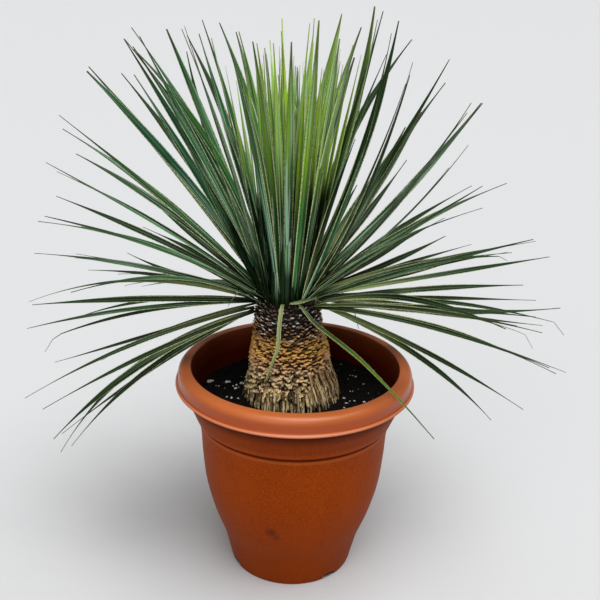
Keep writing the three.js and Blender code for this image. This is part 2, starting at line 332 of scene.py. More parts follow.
def leaf_finish():
    """Waxy blade, blue-green to olive by its tone, with long fine veins, pale streaks of painted sheen and a
    pale midrib painted as a highlight. Its edge is pale yellow, its foot in shade, its outer part dark or, in
    young leaves and those lit through from behind, lime, partly their own colour and partly painted light;
    its tip dry."""
    s = Shader("leaf_blade")
    uv = s.node("ShaderNodeUVMap", {"uv_map": "UVMap"})
    across, along = s.axis(uv, "X"), s.axis(uv, "Y")
    tone, dry, lime, deep = (s.attribute(name) for name in ("tone", "dry", "lime", "deep"))
    offset = s.node("ShaderNodeCombineXYZ", None, {"X": tone * 37.0, "Y": tone * 11.0})
    stretched = s.stretch(uv, (11.0, 1.3, 1.0))
    moved = s.node("ShaderNodeVectorMath", {"operation": "ADD"}, {0: stretched, 1: offset})
    veins = s.noise(moved, 1.0, 4.0)
    sheen_streaks = s.noise(s.stretch(moved, (0.32, 1.6, 1.0), (7.0, 3.0, 0.0)), 1.0, 2.0)
    teeth = s.noise(s.stretch(moved, (0.1, 130.0, 1.0)), 1.0, 1.0)
    green = [
        (0.0, "226c50"), (0.1, "2a7648"), (0.2, "3a843c"), (0.3, "21501a"), (0.42, "132e0b"), (0.6, "0e1d05"),
        (0.74, "33460f"), (0.9, "8a9655"), (1.0, "c0b382"),
    ]
    body = s.ramp(tone, green)
    # The lime upper part: partly the young leaves' own colour and partly painted light shining through the
    # leaves from behind.
    young = lime * along.fit(0.32, 0.68)
    body = s.mix(young, body, "c4f82a")
    pale = tone.fit(0.42, 0.56) * along.fit(0.08, 0.55, 0.8, 0.0)
    body = s.mix(pale, body, "aabb72")
    body = s.mix(veins.fit(0.42, 0.62, 0.0, 0.85) * (1.0 - pale * 0.6 - young * 0.2), body, "071e0a")
    shaded_half = across.fit(0.5, 0.6, 0.0, 0.45) * (1.0 - young * 0.3)
    body = s.mix(shaded_half, body, "0b260e")
    # Painted sheen: pale blue-green streaks on the blue-green blades.
    body = s.mix(sheen_streaks.fit(0.5, 0.62, 0.0, 0.6) * tone.fit(0.28, 0.45, 1.0, 0.15), body, "b4dcc0")
    middle = abs(across - 0.5)
    # Painted highlight: a pale band along the midrib.
    body = s.mix(middle.fit(0.02, 0.08, 0.22, 0.0), body, "a9c097")
    margin = middle.fit(0.395, 0.41) * teeth.fit(0.42, 0.56, 0.4, 1.0)
    body = s.mix(margin, body, "f0f8b8")
    foot = (along - deep * 0.3).fit(0.0, 0.12, 0.95, 0.0)
    body = s.mix(foot, body, "0a2206")
    dark_end = along.fit(0.42, 0.86, 0.0, 0.85) * (1.0 - lime) * tone.fit(0.1, 0.3, 0.55, 1.0)
    body = s.mix(dark_end, body, "1c3413")
    tip = (along + dry * 0.1).fit(0.93, 1.0)
    body = s.mix(tip * (0.8 - lime * 0.45), body, "3a2d1c")
    s.set(Base_Color=body, Roughness=veins.fit(0.2, 0.8, 0.36, 0.52))
    s.set(Specular_IOR_Level=0.12)
    s.bump(veins, 0.25, 0.4 * MM)
    return s.material


def pot_finish():
    """Moulded terracotta-coloured plastic: fine grain, faint flow streaks, soil smears and a glossier rim,
    with painted shade towards the bottom, in the crease, under the lip, on the collar, inside and at the
    notches, painted highlights on the bead and below the crease, and the rim painted paler as lit from above.
    The heights and radii are in metres."""
    s = Shader("pot_plastic")
    grain = s.noise(s.place(), 900.0, 2.0)
    cloud = s.noise(s.place((1, 1, 0.35)), 14.0, 4.0)
    streak = s.noise(s.place((60, 60, 4)), 1.0, 3.0)
    smear = s.noise(s.place((1, 1, 0.6)), 60.0, 5.0, 0.65)
    place = s.node("ShaderNodeTexCoord", output="Object")
    height = s.axis(place, "Z")
    flat = s.node("ShaderNodeVectorMath", {"operation": "MULTIPLY"}, {0: place, 1: (1.0, 1.0, 0.0)})
    radius = s.node("ShaderNodeVectorMath", {"operation": "LENGTH"}, {0: flat}, "Value")
    colour = s.ramp(cloud, [(0.3, "8c3602"), (0.5, "943a02"), (0.72, "9c4004")])
    colour = s.mix(streak.fit(0.5, 0.75, 0.0, 0.16), colour, "752c02")
    mottle = s.noise(s.place(), 480.0, 3.0, 0.6)
    colour = s.mix(mottle.fit(0.5, 0.68, 0.0, 0.4), colour, "5c2202")
    colour = s.mix(mottle.fit(0.34, 0.5, 0.25, 0.0), colour, "b4561a")
    # Painted shade: the body is painted darker towards the bottom.
    colour = s.mix(height.fit(0.02, 0.22, 0.45, 0.0), colour, "702a02")
    # Painted light: the rim above the lip is painted lighter than the body, and its top paler still, as lit
    # from above.
    colour = s.mix(height.fit(0.253, 0.257), colour, "a64503")
    top = height.fit(0.268, 0.277)
    colour = s.mix(top * 0.7, colour, "c46c38")
    low_dust = height.fit(0.0, 0.04, 1.0, 0.0) * smear.fit(0.5, 0.66)
    colour = s.mix(low_dust * 0.4, colour, "5e3a22")
    for spot, reach, strength in POT_SMEARS:
        away = s.away(place, tuple(v * MM for v in spot))
        mask = (away + smear * 0.012).fit((reach * 0.5 + 5) * MM, (reach + 8) * MM, strength, 0.0)
        colour = s.mix(mask, colour, "4c230f")
    # Painted shade: the wall just above each notch is painted near black, standing for the shade under the
    # pot.
    for bearing in NOTCH_BEARINGS:
        turn = math.radians(bearing)
        away = s.away(place, (FOOT_RADIUS * math.cos(turn), FOOT_RADIUS * math.sin(turn), 0.0))
        near = away.fit(NOTCH_WIDTH / 2 - MM, NOTCH_WIDTH / 2 + MM, 0.96, 0.0)
        colour = s.mix(near * height.fit(0.0072, 0.0086, 1.0, 0.0), colour, "0c0301")
    # Painted highlight: a pale line along the bead at the lip.
    bead_highlight = radius.fit(0.1488, 0.1498) * height.fit(0.2568, 0.2578)
    colour = s.mix(bead_highlight * 0.6, colour, "e0906a")
    below_crease_highlight = height.band(0.2025, 0.2055, 0.2065, 0.2085)
    crease = height.band(0.2074, 0.2105, 0.2128, 0.2158)
    outside = radius.fit(0.127, 0.130)
    under_lip_shade = outside * height.band(0.232, 0.252, 0.2562, 0.2568)
    collar = outside * height.band(0.2162, 0.222, 0.244, 0.25)
    # Painted highlight: a lighter band just below the crease.
    colour = s.mix(below_crease_highlight * 0.3, colour, "c06a30")
    # Painted shade in the crease under the collar.
    colour = s.mix(crease * 0.8, colour, "3a1204")
    # Painted shade under the lip.
    colour = s.mix(under_lip_shade * 0.88, colour, "2c0a01")
    # Painted shade on the collar, as in the rim's shadow.
    colour = s.mix(collar * 0.35, colour, "5c1e02")
    # Painted shade: the inner wall is painted dark maroon, darkest lower down towards the soil.
    inside = radius.fit(0.1312, 0.1328, 1.0, 0.0) * height.fit(0.228, 0.232)
    colour = s.mix(inside * height.fit(0.24, 0.282, 0.88, 0.68), colour, "3c0703")
    s.set(Base_Color=colour, Roughness=cloud.fit(0.3, 0.7, 0.4, 0.52))
    s.set(Specular_IOR_Level=0.04, Coat_Weight=height.fit(0.25, 0.262) * 0.8, Coat_Roughness=0.32)
    s.bump(grain * 0.6 + streak * 0.4, 0.12, 0.3 * MM)
    return s.material


def soil_finish():
    """Nearly black peat mix with brown fibres and crumbs."""
    s = Shader("potting_soil")
    fine = s.noise(s.place(), 420.0, 5.0, 0.7)
    coarse = s.noise(s.place(), 90.0, 3.0)
    colour = s.ramp(fine, [(0.35, "040303"), (0.52, "0d0a09"), (0.66, "1d1612"), (0.8, "3a2c22")])
    colour = s.mix(coarse.fit(0.5, 0.7, 0.0, 0.6), colour, "060505")
    s.set(Base_Color=colour, Roughness=fine.fit(0.2, 0.8, 0.8, 0.98), Specular_IOR_Level=0.15)
    s.bump(fine, 0.8, 1.5 * MM)
    return s.material


def perlite_finish():
    """Off-white puffed grains, a little stained."""
    s = Shader("perlite")
    stain = s.noise(s.place(), 260.0, 4.0)
    colour = s.ramp(stain, [(0.35, "8f8a80"), (0.5, "d6d3cc"), (0.7, "f3f2ee")])
    s.set(Base_Color=colour, Roughness=stain.fit(0.3, 0.7, 0.75, 0.95))
    s.bump(stain, 0.6, 0.6 * MM)
    return s.material


def scale_finish():
    """Dry old leaf bases: dark stubs at the top, ochre, then pinkish tan and straw at the soil, paler at
    each free edge and in painted shade at their roots, under the scales above. Level runs from nothing at the
    soil to one at the crown."""
    s = Shader("trunk_scales")
    height = s.axis(s.place(), "Z")
    tone = s.attribute("tone")
    edge = s.attribute("edge")
    patch = s.noise(s.place(), 40.0, 3.0)
    fibre = s.noise(s.place((500, 500, 60)), 1.0, 4.0, 0.65)
    level = (height + (patch - 0.5) * 0.03 + (tone - 0.5) * 0.012).fit(0.237, 0.387)
    body = s.ramp(
        level,
        [
            (0.0, "a8854f"), (0.18, "ae8958"), (0.27, "ae865a"), (0.38, "a9753f"), (0.46, "b07c34"),
            (0.6, "a8702a"), (0.68, "6e481f"), (0.78, "3a2413"), (1.0, "150d08"),
        ],
    )
    tips = s.ramp(
        level,
        [
            (0.0, "fae2ac"), (0.2, "f8d8a4"), (0.3, "f2c796"), (0.38, "ecb67a"), (0.46, "ecb862"),
            (0.6, "dca95a"), (0.7, "a87a4e"), (0.82, "8f7663"), (1.0, "6d6058"),
        ],
    )
    body = s.mix(tone.fit(0.0, 0.6, 0.92, 0.0), body, "1c1009")
    tips = s.mix(tone.fit(0.05, 0.6, 0.9, 0.0), tips, "3c2514")
    tips = s.mix(tone.fit(0.76, 0.86, 0.0, 0.75) * level.fit(0.66, 0.72), tips, "e6d9cf")
    colour = s.mix(edge.fit(0.45, 0.8), body, tips)
    # Painted shade: each scale and strip is painted near black at its root, under the scales above.
    colour = s.mix(edge.fit(0.12, 0.54, 0.96, 0.0), colour, "0a0503")
    colour = s.mix(fibre.fit(0.5, 0.75, 0.0, 0.6), colour, "24150b")
    colour = s.mix(fibre.fit(0.5, 0.6, 0.0, 0.7) * level.fit(0.1, 0.26, 1.0, 0.0), colour, "2c1c0f")
    s.set(Base_Color=colour, Roughness=fibre.fit(0.3, 0.7, 0.7, 0.95), Specular_IOR_Level=0.2)
    s.bump(fibre, 0.7, 0.8 * MM)
    return s.material


def core_finish():
    """The dark fibrous trunk between the scales, brown behind the ochre ones."""
    s = Shader("trunk_core")
    fibre = s.noise(s.place((300, 300, 60)), 1.0, 4.0)
    height = s.axis(s.place(), "Z")
    colour = s.ramp(fibre, [(0.3, "060403"), (0.6, "120b07"), (0.8, "2c1d12")])
    ochre = height.band(0.268, 0.285, 0.315, 0.34)
    colour = s.mix(ochre * 0.75, colour, "4f3014")
    s.set(Base_Color=colour, Roughness=fibre.fit(0.3, 0.7, 0.8, 0.95))
    s.bump(fibre, 0.8, 1.0 * MM)
    return s.material


def stage_finish():
    """Plain pale studio paper."""
    s = Shader("studio_paper")
    s.set(Base_Color=rgba("cfd0d1"), Roughness=0.9)
    return s.material


# ---------------------------------------------------------------- pot
BODY_OUTLINE = np.array([
    [81, 6], [84.3, 20], [90.7, 45], [103.3, 80], [113.5, 120], [117.9, 160], [119.7, 190], [122.5, 208],
])
WALL = 3
FOOT_RING = (71, 82)  # inner and outer radius, and below its height, in mm
FOOT_RING_HEIGHT = 6
FOOT_RADIUS = 79.6 * MM
NOTCH_BEARINGS = [-51, -153, 105, 27]
NOTCH_WIDTH = 18 * MM
NOTCH_HEIGHT = 4.6 * MM


def through(points, per_span):
    """A smooth Catmull-Rom curve through the points, with per_span steps between neighbours."""
    ends = np.vstack([2 * points[0] - points[1], points, 2 * points[-1] - points[-2]])
    t = np.linspace(0, 1, per_span, endpoint=False)[:, None]
    a, b, c, d = (ends[i : len(ends) - 3 + i][:, None, :] for i in range(4))
    curve = 0.5 * (2 * b + (c - a) * t + (2 * a - 5 * b + 4 * c - d) * t**2 + (3 * b - a - 3 * c + d) * t**3)
    return np.vstack([curve.reshape(-1, points.shape[1]), points[-1]])


def arc(centre, radii, start, end, steps):
    """Points on an ellipse from start to end degrees."""
    turn = np.radians(np.linspace(start, end, steps))
    return np.stack([centre[0] + radii[0] * np.cos(turn), centre[1] + radii[1] * np.sin(turn)], 1)


def pot_profile():
    """Radius and height in mm from the pad under the pot, up the outside, over the rim and down to the
    floor inside, with round stretches as arcs and slow curves through a few points."""
    underside = [[0.4, 0], [21, 0], [22, 0.6], [22.6, 5], [70, 5], [71.6, 4.4], [72, 0.6], [72.6, 0]]
    foot = arc((78.2, 2), (1.6, 2), -90, 0, 5)
    foot = np.vstack([foot, [[80.2, 4], [80.9, 4.9]]])
    body = through(BODY_OUTLINE, 6)
    crease = [[123, 210.4], [121.9, 211.2], [121.8, 212.4], [124.6, 212.9], [125.9, 213.5], [126.5, 215]]
    collar = [[133.5, 232], [139.6, 245.5], [141, 249.8], [142, 253.2]]
    lip = [[147, 255], [150.4, 255.9], [151.3, 256.9], [151.2, 258.2], [150.2, 259]]
    neck = [[148.6, 259.8], [147.9, 261]]
    rim = np.vstack([[[147.8, 263]], [[147.8, 268.5]], arc((139, 270), (8.8, 9.2), 8, 82, 10)])
    crest = np.vstack([[[137, 279.5]], arc((133.4, 277.3), (2.1, 2.2), 90, 180, 6)])
    inside = through(np.array([[130.2, 272], [128.4, 262], [126, 247], [124.4, 237]]), 4)
    wall = through(BODY_OUTLINE, 3)[::-1][: -5] - [WALL, 0]
    floor = [[76, 9.6], [72, 8], [0.4, 8]]
    return np.vstack([underside, foot, body, crease, collar, lip, neck, rim, crest, inside, wall, floor])


def make_pot(material):
    """The profile turned about the axis. Within each notch's width the foot ring's points are lifted at
    least to the notch's height."""
    profile = pot_profile() * MM
    sides = 360
    turn = np.linspace(0, 2 * math.pi, sides, endpoint=False)
    radius, height = profile[:, :1], profile[:, 1:]
    lift = np.zeros(sides)
    for bearing in NOTCH_BEARINGS:
        away = np.abs((turn - math.radians(bearing) + math.pi) % (2 * math.pi) - math.pi)
        within = 1 - smoothstep(NOTCH_WIDTH / 2 - MM, NOTCH_WIDTH / 2 + MM, away * FOOT_RADIUS)
        lift = np.maximum(lift, NOTCH_HEIGHT * within)
    ring = (radius > FOOT_RING[0] * MM) & (radius < FOOT_RING[1] * MM)
    foot = ring & (height < FOOT_RING_HEIGHT * MM)
    z = np.where(foot, np.maximum(height, lift[None]), height + 0 * turn)
    points = np.stack([radius * np.cos(turn), radius * np.sin(turn), z], -1)
    return new_object("pot_shell", points.reshape(-1, 3), closed_grids(1, len(profile), sides), material)


# ---------------------------------------------------------------- soil
SOIL_REACH = (40, 124)  # radii in mm, inside the trunk and at the pot's wall
SOIL_DEPTH = 12 * MM
MOUND_RADIUS = 62 * MM
MOUND_WIDTH = 14 * MM
GRAIN_REACH = (66 * MM, 121 * MM)
PERLITE = [  # the larger white grains as [x, y, radius] in mm
    [-113, 30, 3.2], [-109, 33, 2.0], [-89, 27, 2.6], [-86, 28, 1.8], [-80, 16, 2.0], [-76, 20, 1.6],
    [-77, 8, 2.6], [-73, 10, 1.6], [-70, 23, 2.8], [-67, 21, 2.0], [-65, 17, 1.0], [-80, -16, 2.0],
    [-86, -13, 1.3], [-71, -22, 1.9], [-99, 17, 1.3], [-76, 49, 1.1], [-71, 44, 0.9], [63, -10, 2.0],
    [65, -23, 1.5], [70, -17, 0.9], [76, -15, 1.4], [88, -17, 2.4], [72, 12, 1.0], [75, 12, 1.0],
    [95, -14, 0.8], [62, -34, 1.5], [30, 96, 1.8], [-20, 101, 2.2], [-48, 88, 1.6], [58, 74, 1.4],
    [12, 84, 1.2], [-4, 108, 1.1], [81, 55, 1.7], [-63, 77, 1.3],
]


def soil_height(x, y):
    """Level of the soil: hollows and lumps of a few millimetres, and a low mound round the trunk."""
    near = np.exp(-((np.hypot(x - TRUNK_FOOT[0], y) - MOUND_RADIUS) / MOUND_WIDTH) ** 2)
    lumps = 1.6 * ripple(x, y, 0, 3, 6, 60) + 1.1 * ripple(x, y, 0, 4, 7, 160)
    crumbs = 0.7 * ripple(x, y, 0, 5, 9, 420)
    return SOIL_TOP + (lumps + crumbs + 2.0 * near - 0.5) * MM


def make_soil(material):
    """Rings of points from the trunk's pocket out to the pot's wall, closed by a flat underside."""
    sides, rings = 300, 60
    turn = np.linspace(0, 2 * math.pi, sides, endpoint=False)[None]
    reach = np.linspace(*SOIL_REACH, rings)[:, None] * MM
    x, y = reach * np.cos(turn), reach * np.sin(turn)
    top = np.stack([x, y, soil_height(x, y)], -1)
    underside = [0, 0, SOIL_TOP - SOIL_DEPTH]
    edge = top[-1:] * [0.995, 0.995, 0] + underside
    inner = top[:1] * [1, 1, 0] + underside
    points = np.concatenate([inner, top, edge])
    here = np.arange(sides)
    beside = (here + 1) % sides
    outermost = (rings + 1) * sides
    last = np.stack([outermost + here, outermost + beside, beside, here], -1)
    return new_object("soil_surface", points.reshape(-1, 3), [grid_quads(rings + 2, sides), last], material)


def lump_points(count, seed, low, high, squash):
    """Irregular grains: balls of rings and sides with roughened radii, squashed and turned at random."""
    draw = np.random.default_rng(seed)
    rows, sides = 5, 7
    tilt = np.linspace(0.15, math.pi - 0.15, rows)[None, :, None]
    turn = (np.arange(sides) * 2 * math.pi / sides)[None, None, :]
    rough = 1 + draw.uniform(-0.25, 0.25, (count, rows, sides))
    size = draw.uniform(low, high, (count, 1, 1)) * MM
    stretch = draw.uniform(0.7, 1.3, (count, 3, 1, 1)) * np.array([1, 1, squash])[None, :, None, None]
    shape = np.stack([np.sin(tilt) * np.cos(turn), np.sin(tilt) * np.sin(turn), -np.cos(tilt) + 0 * turn], 1)
    local = shape * rough[:, None] * size[:, None] * stretch
    spin = draw.uniform(0, 2 * math.pi, (count, 1, 1))
    x = local[:, 0] * np.cos(spin) - local[:, 1] * np.sin(spin)
    y = local[:, 0] * np.sin(spin) + local[:, 1] * np.cos(spin)
    return np.stack([x, y, local[:, 2]], -1), rows, sides, draw


def scatter(name, count, seed, low, high, material, squash=0.75, spots=None):
    """Grains resting in the soil's surface: at the listed spots, [x, y, radius] in mm, or at random
    between trunk and wall."""
    local, rows, sides, draw = lump_points(count, seed, low, high, squash)
    if spots is None:
        reach = np.sqrt(draw.uniform(GRAIN_REACH[0] ** 2, GRAIN_REACH[1] ** 2, count))
        turn = draw.uniform(0, 2 * math.pi, count)
        places = np.stack([reach * np.cos(turn), reach * np.sin(turn)], 1)
    else:
        spots = np.array(spots, float)
        places = spots[:, :2] * MM
        local = local * spots[:, 2, None, None, None]
    level = soil_height(places[:, 0], places[:, 1])
    points = local + np.column_stack([places, level])[:, None, None]
    return new_object(name, points.reshape(-1, 3), closed_grids(count, rows, sides), material)


# ---------------------------------------------------------------- trunk
TRUNK_OUTLINE = np.array([  # radius over the scales' free edges and height above the soil, in mm
    [62, -10], [61, 0], [59.5, 11], [57.5, 22], [52.5, 38], [50.8, 60], [45.5, 84], [42.6, 104], [42, 115],
])
LEAN = (CROWN_CENTRE - TRUNK_FOOT) / np.linalg.norm(CROWN_CENTRE - TRUNK_FOOT)
SCALE_COVER = 6  # mm that the scales stand out over the core
CORE_TOP = 137  # height in mm that the core's dome is cut at
CROWN_TILT = 55  # degrees that the scales at the crown stand up more
STRAW_SIDE = math.radians(-25)  # bearing at which the straw reaches highest
STRAW_RISE = 8  # mm that it reaches higher there, and lower on the far side


def leaning(local):
    """Points given about an upright axis, turned to lean along the trunk's axis and set on its foot."""
    side = unit(np.cross(UP, LEAN))
    front = np.cross(side, UP)
    tilted = np.cross(side, LEAN)
    x = local @ front
    y = local @ side
    return TRUNK_FOOT + x[..., None] * tilted + y[..., None] * side + local[..., 2:] * LEAN


def trunk_profile():
    """The trunk's outline up to the crown, and the crown's dome as a quarter ellipse."""
    radius, top = TRUNK_OUTLINE[-1]
    dome = arc((0, top), (radius, CROWN_RISE / MM), 0, 90, 14)[1:]
    return np.vstack([through(TRUNK_OUTLINE, 6), dome])


def trunk_radius(height):
    """Radius in metres at a height in metres above the soil."""
    profile = trunk_profile() * MM
    return np.interp(height, profile[:, 1], profile[:, 0])


def make_core(material):
    """The trunk under its scales: the outline drawn in by their cover, turned about the trunk's axis."""
    profile = trunk_profile()
    thinnest = 0.5
    profile[:, 0] = np.maximum(profile[:, 0] - SCALE_COVER, thinnest)
    profile[:, 1] = np.minimum(profile[:, 1], CORE_TOP)
    profile = np.vstack([[[thinnest, TRUNK_OUTLINE[0, 1]]], profile]) * MM
    sides = 96
    turn = np.linspace(0, 2 * math.pi, sides, endpoint=False)
    radius, height = profile[:, :1], profile[:, 1:]
    local = np.stack([radius * np.cos(turn), radius * np.sin(turn), height + 0 * turn], -1)
    points = leaning(local).reshape(-1, 3)
    return new_object("trunk_core", points, closed_grids(1, len(profile), sides), material)


def capped(name, local, shape, material, values):
    """Many closed strips on the trunk as one object; shape is their count and each one's rows and columns."""
    values = {key: np.broadcast_to(value, shape).reshape(-1) for key, value in values.items()}
    return new_object(name, leaning(local).reshape(-1, 3), closed_grids(*shape), material, None, values)


def make_scales(name, heights, turns, widths, reaches, tilts, thick, material, seed):
    """Old leaf bases: short blunt plates bent to the trunk's curve across their width. Each stands out
    from its root by its reach, at its tilt from level, so that its ragged free edge is on the trunk's
    outline."""
    draw = np.random.default_rng(seed)
    count = len(heights)
    u = np.linspace(-1, 1, 5)[None, :, None]
    outward = np.array([0.0, 0.6, 0.96, 1.0, 0.96, 0.55, 0.0])[None, None, :]
    level = np.array([0.4, 0.48, 0.5, 0.0, -0.5, -0.5, -0.5])[None, None, :]
    ragged = 1 + draw.uniform(-0.2, 0.14, (count, 5, 1))
    corner = 1 - 0.35 * u**2
    arch = draw.uniform(-0.8, 1.4, (count, 1, 1)) * MM * (1 - u**2)
    w, r, a, h = (v[:, None, None] for v in (widths, reaches, tilts, heights * MM))
    stand = outward * r * ragged * corner
    root = trunk_radius(h + r * np.sin(a)) - r * np.cos(a)
    out = root + stand * np.cos(a)
    slant = draw.normal(0, 0.12, (count, 1, 1)) * u * w / 2
    z = h + stand * np.sin(a) + level * thick * corner + arch + slant
    bend = turns[:, None, None] + u * w / 2 * (1 - 0.15 * outward) / (root + r * np.cos(a))
    local = np.stack([out * np.cos(bend), out * np.sin(bend), z], -1)
    values = {"tone": draw.uniform(0, 1, (count, 1, 1)), "edge": outward * np.ones((1, 5, 1))}
    return capped(name, local, (count, 5, 7), material, values)


def make_strips(name, turns, tops, ends, widths, material, seed, lean=0):
    """Shredded straw: flat strips that run down the trunk's outline, flare a little and end ragged. Turns
    holds each strip's bearing in radians. Tops, ends and widths are ranges in mm, and lean is the strips'
    sideways run in mm. The strips reach up higher on the side where the straw has come loose, by the
    cosine of the turn from it."""
    draw = np.random.default_rng(seed)
    count = len(turns)
    s = np.linspace(0, 1, 7)[None, :, None]
    turn = turns[:, None, None]
    rise = STRAW_RISE * np.cos(turn - STRAW_SIDE)
    top = (draw.uniform(*tops, (count, 1, 1)) + rise) * MM
    end = (draw.uniform(*ends, (count, 1, 1)) + rise * ends[0] / tops[0]) * MM
    height = top + (end - top) * s
    lift = draw.uniform(-2.8, 0.6, (count, 1, 1)) * MM + draw.uniform(0, 1.8, (count, 1, 1)) * MM * s**3
    wave = 0.4 * MM * np.sin(s * draw.uniform(3, 9, (count, 1, 1)) + turn)
    half = draw.uniform(*widths, (count, 1, 1)) * MM / 2 * (1 - 0.45 * s ** draw.uniform(2, 6, (count, 1, 1)))
    across = np.array([-1.0, 1.0, 1.0, -1.0])[None, None, :]
    level = np.array([0.5, 0.5, -0.5, -0.5])[None, None, :]
    out = trunk_radius(height) + lift + wave + level * 1.2 * MM
    drift = (draw.normal(0, 1.6, (count, 1, 1)) + lean) * MM * s
    bend = turn + (across * half + drift) / out
    local = np.stack([out * np.cos(bend), out * np.sin(bend), height + 0 * bend], -1)
    edge = 0.45 + 0.5 * s * np.ones((1, 1, 4)) + draw.uniform(-0.1, 0.1, (count, 1, 1))
    values = {"tone": draw.uniform(0, 1, (count, 1, 1)), "edge": edge}
    return capped(name, local, (count, 7, 4), material, values)


def ring(count, start=0.0):
    """Bearings of count places spread round the trunk by the golden angle."""
    return start + np.arange(count) * GOLDEN


def spiral(count, low, high, jitter, seed):
    """Heights and bearings of count places that climb from low to high mm by the golden angle."""
    draw = np.random.default_rng(seed)
    k = np.arange(count)
    heights = low + (high - low) * (k + 0.5) / count + draw.uniform(-jitter, jitter, count)
    return heights, k * GOLDEN + draw.uniform(-0.03, 0.03, count), draw


def make_band(name, count, low, high, widths, reaches, tilts, thick, material, seed):
    """A band of scales between two heights in mm, with widths and reaches in mm and tilts in degrees
    drawn at random from their ranges. Those near the crown stand up more."""
    heights, turns, draw = spiral(count, low, high, 1.6, seed)
    width = draw.uniform(*widths, count) * MM
    reach = draw.uniform(*reaches, count) * MM
    tilt = np.radians(draw.uniform(*tilts, count) + CROWN_TILT * smoothstep(112, 134, heights))
    return make_scales(name, heights, turns, width, reach, tilt, thick * MM, material, seed + 1)


def make_trunk(core, scales):
    """The core, three bands of scales from the crown down, and straw at the soil, fanned out at the right."""
    fan = np.radians(np.linspace(-70, 30, 46))
    return [
        make_core(core),
        make_band("trunk_top_stubs", 560, 86, 136, (3.4, 6), (3.2, 6), (0, 45), 1.7, scales, 21),
        make_band("trunk_ochre_scales", 640, 52, 92, (5, 9.5), (4.5, 8), (-8, 26), 1.9, scales, 23),
        make_band("trunk_tan_scales", 420, 20, 57, (5, 10), (5.5, 9), (-44, -6), 2.0, scales, 25),
        make_strips("trunk_straw_upper", ring(70), (24, 31), (12, 19), (2.8, 5.4), scales, 27),
        make_strips("trunk_straw_middle", ring(80, 1), (14, 22), (2, 9), (2, 4.4), scales, 28),
        make_strips("trunk_straw_lower", ring(90, 2), (8, 18), (-5, 2), (1.6, 3.4), scales, 29),
        make_strips("trunk_straw_fan", fan, (24, 46), (-4, 8), (1.4, 3), scales, 30, 9),
        make_strips("trunk_straw_fibres", ring(80, 3), (6, 28), (-4, 6), (0.8, 1.6), scales, 31),
    ]


# ---------------------------------------------------------------- leaves
SECTION_ACROSS = np.array([-1.0, -0.55, 0.0, 0.55, 1.0, 0.55, 0.0, -0.55])
SECTION_LEVEL = np.array([0.0, -0.45, -0.3, -0.45, 0.0, 0.5, 0.8, 0.5])
SECTION_FOLD = 0.16  # the edges stand this share of the half width above the middle
LEAF_STEPS = 22
FRONT_DROP = 0.32  # share by which upright leaves at the front leave the crown lower down


def heading(bearing, elevation):
    """Unit vectors for bearings and elevations in degrees."""
    b, e = np.radians(bearing), np.radians(elevation)
    return np.stack([np.cos(b) * np.cos(e), np.sin(b) * np.cos(e), np.sin(e)], -1)


def leaf_feet(bearing, elevation, sink=1.0):
    """Where leaves leave the crown's dome: low ones at its edge and upright ones near its top, lower down
    for a sink under 1 and for upright ones that stand at the front."""
    front = smoothstep(0.2, 0.8, -np.sin(np.radians(bearing))) * smoothstep(40, 60, elevation)
    lift = sink * 90 * (1 - FRONT_DROP * front) * (elevation - LOWEST_LEAF) / (90 - LOWEST_LEAF)
    out = heading(bearing, lift) * [CROWN_RADIUS, CROWN_RADIUS, CROWN_RISE]
    return leaning(out) - TRUNK_FOOT + CROWN_CENTRE


def leaf_lines(bearing, elevation, length, bow, sink=1.0):
    """Quadratic curves from foot to tip, arched upwards by bow in the middle, square to the straight line
    between them, as points on each leaf."""
    t = np.linspace(0, 1, LEAF_STEPS)[None, :, None]
    foot = leaf_feet(bearing, elevation, sink)
    tip = LEAF_ORIGIN + heading(bearing, elevation) * length[:, None]
    run = unit(tip - foot)
    lift = unit(UP - run[:, 2:] * run)
    middle = ((foot + tip) / 2 + 2 * bow[:, None] * lift)[:, None]
    return (1 - t) ** 2 * foot[:, None] + 2 * t * (1 - t) * middle + t**2 * tip[:, None]


def curve_line(points):
    """One smooth line through points in mm, with the steps of a leaf."""
    line = through(np.array(points, float), 12)
    spots = np.linspace(0, len(line) - 1, LEAF_STEPS)
    return np.stack([np.interp(spots, np.arange(len(line)), line[:, i]) for i in range(3)], -1)[None] * MM


def leaf_shares(start, end, point=LEAF_POINT, neck=LEAF_NECK):
    """Shares of the full half width along each leaf: a neck, full width to start, then a taper to end."""
    t = np.linspace(0, 1, LEAF_STEPS)[None]
    narrow = 1 - (1 - neck) * (1 - t) ** 6
    return narrow * (1 - (1 - point) * smoothstep(start[:, None], end[:, None], t))


def blades(name, lines, half, twist, tone, dry, lime, deep, material, face=UP, pattern=(0.0, 1.0)):
    """One closed blade along each line with the given half widths: an eight-point section, folded a
    little, its upper face looking the given way and then turned by twist about the line. The other values
    go to its finish."""
    count, steps = lines.shape[:2]
    t = np.linspace(0, 1, steps)
    along = unit(np.gradient(lines, axis=1))
    across = unit(np.cross(face, along))
    out = np.cross(across, along)
    turn = twist[:, None, None]
    side = across * np.cos(turn) + out * np.sin(turn)
    under = out * np.cos(turn) - across * np.sin(turn)
    half = half[..., None, None]
    thick = np.minimum(0.7 * MM, 0.6 * half)
    u = SECTION_ACROSS[:, None]
    level = SECTION_LEVEL[:, None] * thick - SECTION_FOLD * half * np.abs(u)
    points = lines[:, :, None] + side[:, :, None] * u * half + under[:, :, None] * level
    shape = (count, steps, len(SECTION_ACROSS))
    run = np.interp(t, [0, 1], pattern)[:, None]
    uv = np.stack([np.broadcast_to(part, shape) for part in (SECTION_ACROSS / 2 + 0.5, run)], -1)
    values = {"tone": tone, "dry": dry, "lime": lime, "deep": deep}
    values = {key: np.broadcast_to(value[:, None, None], shape) for key, value in values.items()}
    return new_object(name, points.reshape(-1, 3), closed_grids(*shape), material, uv.reshape(-1, 2), values)


